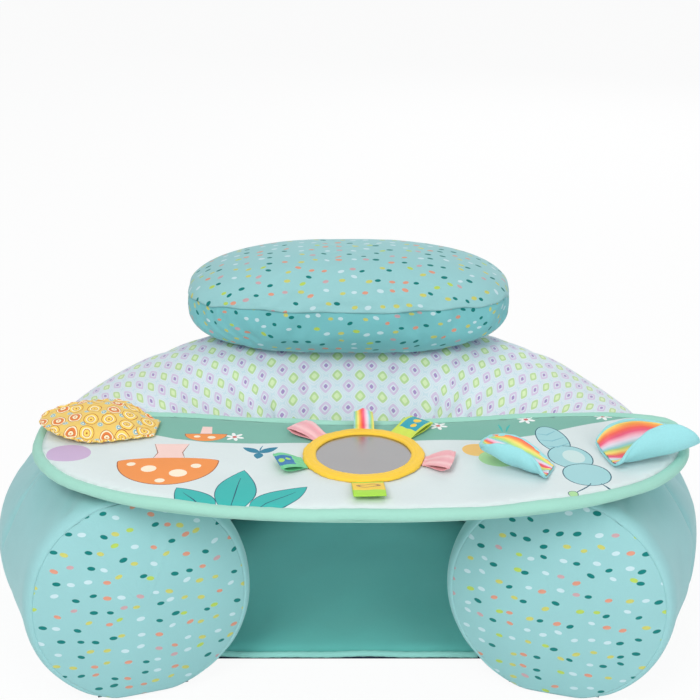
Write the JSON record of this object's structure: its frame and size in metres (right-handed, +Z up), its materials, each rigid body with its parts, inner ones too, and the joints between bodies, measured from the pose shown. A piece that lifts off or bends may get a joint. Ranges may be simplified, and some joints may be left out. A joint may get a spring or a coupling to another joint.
{
  "type": "baby floor seat",
  "caption": "C-shaped stuffed ring cushion that seats a baby on a padded floor, with a head bolster on its back and a padded play tray across its arms.",
  "frame": {"origin": "on the floor, in the middle of the footprint, midway between the back of the ring and the front of the tray", "axes": "+X towards the right of someone facing the seat's open front, +Y towards its back, +Z up"},
  "size_m": [0.6176, 0.5461, 0.2711],
  "materials": {
    "dark_grip": "matt, fine grip texture",
    "floor_foam": "matt foam",
    "filling": "matt polyester fibre filling",
    "teal_fabric": "matt brushed polyester",
    "teal_piping": "matt fabric piping",
    "diamond_print": "matt brushed polyester, printed with rows of nested diamonds",
    "aqua_fabric": "matt brushed polyester",
    "confetti_print": "matt brushed polyester, printed with scattered small dots",
    "touch_tape": "woven touch-fastener tape",
    "zip_tape": "woven tape with nylon coil",
    "zip_metal": "satin",
    "panel_print": "matt printed polyester",
    "panel_plain": "matt polyester",
    "tray_board": "matt",
    "binding": "matt stretch fabric",
    "mirror_film": "soft mirror film",
    "mirror_backing": "matt foam",
    "yellow_cloth": "matt woven",
    "plush": "short pile plush",
    "rainbow_satin": "satin with rainbow stripes",
    "ring_print": "matt cotton printed with concentric rings",
    "crinkle_film": "thin crackling film",
    "pink_satin": "satin ribbon",
    "teal_tag": "woven tag with coloured stripes",
    "yellow_tag": "woven tag with coloured stripes",
    "green_tag": "woven tag with coloured stripes"
  },
  "bodies": {
    "seat": {"base_fabric": "dark_grip", "floor_foam": "floor_foam", "floor_cover": "teal_fabric", "front_piping": "teal_piping", "ring_filling": "filling", "top_cover": "diamond_print", "lower_cover": "aqua_fabric", "arm_sleeve_left": "aqua_fabric", "arm_sleeve_right": "aqua_fabric", "end_cap_left": "confetti_print", "end_cap_right": "confetti_print", "arm_loop_patch_left": "touch_tape", "arm_loop_patch_right": "touch_tape", "back_loop_strip": "touch_tape", "zip_tape": "zip_tape"},
    "zip_slider": {"zip_slider": "zip_metal"},
    "zip_pull": {"zip_pull": "zip_metal"},
    "bolster": {"bolster_top_cover": "confetti_print", "bolster_bottom_cover": "confetti_print", "bolster_filling": "filling", "bolster_hook_strip": "touch_tape"},
    "tray": {"tray_top_fabric": "panel_print", "tray_foam": "floor_foam", "tray_board": "tray_board", "tray_bottom_fabric": "panel_plain", "tray_binding": "binding", "tray_hook_patch_left": "touch_tape", "tray_hook_patch_right": "touch_tape", "mirror_backing": "mirror_backing", "mirror_film": "mirror_film", "mirror_frame": "yellow_cloth"},
    "leaf": {"leaf_bottom_fabric": "ring_print", "leaf_film": "crinkle_film", "leaf_top_fabric": "ring_print"},
    "wing_left": {"wing_left": "plush", "wing_lining_left": "rainbow_satin"},
    "wing_right": {"wing_right": "plush", "wing_lining_right": "rainbow_satin"},
    "loop_pink_left": {"loop_pink_left": "pink_satin"},
    "loop_rainbow": {"loop_rainbow": "rainbow_satin"},
    "loop_teal_right": {"loop_teal_right": "teal_tag"},
    "loop_pink_right": {"loop_pink_right": "pink_satin"},
    "loop_yellow_front": {"loop_yellow_front": "yellow_tag"},
    "loop_green_left": {"loop_green_left": "green_tag"}
  },
  "joints": [
    {"name": "tray_lift", "type": "slide", "parent": "seat", "child": "tray", "axis": [0, 0, 1], "range_m": [0, 0.15]},
    {"name": "bolster_lift", "type": "slide", "parent": "seat", "child": "bolster", "axis": [0, 0, 1], "range_m": [0, 0.12]},
    {"name": "zip_run", "type": "hinge", "parent": "seat", "child": "zip_slider", "pos_m": [0, -0.03915, 0.08153], "axis": [0, 0, 1], "range_deg": [-80, 0]},
    {"name": "zip_pull_swing", "type": "hinge", "parent": "zip_slider", "child": "zip_pull", "pos_m": [-0.20405, 0.20403, 0.08153], "axis": [0.766, 0.6428, 0], "range_deg": [0, 150]},
    {"name": "leaf_flap", "type": "hinge", "parent": "tray", "child": "leaf", "pos_m": [-0.159, -0.13215, 0.2033], "axis": [0.0698, 0.9976, 0], "range_deg": [0, 110]},
    {"name": "wing_left_flap", "type": "hinge", "parent": "tray", "child": "wing_left", "pos_m": [0.159, -0.21315, 0.2035], "axis": [0.3907, 0.9205, 0], "range_deg": [0, 84]},
    {"name": "wing_right_flap", "type": "hinge", "parent": "tray", "child": "wing_right", "pos_m": [0.206, -0.18915, 0.2035], "axis": [0.225, -0.9744, 0], "range_deg": [0, 84]},
    {"name": "loop_pink_left_bend", "type": "hinge", "parent": "tray", "child": "loop_pink_left", "pos_m": [-0.02397, -0.14642, 0.2036], "axis": [0.6947, 0.7193, 0], "range_deg": [0, 80]},
    {"name": "loop_rainbow_bend", "type": "hinge", "parent": "tray", "child": "loop_rainbow", "pos_m": [0.01287, -0.13116, 0.2036], "axis": [0.9998, -0.0175, 0], "range_deg": [0, 28]},
    {"name": "loop_teal_right_bend", "type": "hinge", "parent": "tray", "child": "loop_teal_right", "pos_m": [0.04347, -0.14229, 0.2036], "axis": [0.7771, -0.6293, 0], "range_deg": [0, 80]},
    {"name": "loop_pink_right_bend", "type": "hinge", "parent": "tray", "child": "loop_pink_right", "pos_m": [0.06072, -0.1924, 0.2036], "axis": [-0.225, -0.9744, 0], "range_deg": [0, 79]},
    {"name": "loop_yellow_front_bend", "type": "hinge", "parent": "tray", "child": "loop_yellow_front", "pos_m": [0.01462, -0.23108, 0.2036], "axis": [-0.9986, -0.0523, 0], "range_deg": [0, 80]},
    {"name": "loop_green_left_bend", "type": "hinge", "parent": "tray", "child": "loop_green_left", "pos_m": [-0.03581, -0.19577, 0.2036], "axis": [-0.2924, 0.9563, 0], "range_deg": [0, 77]}
  ]
}
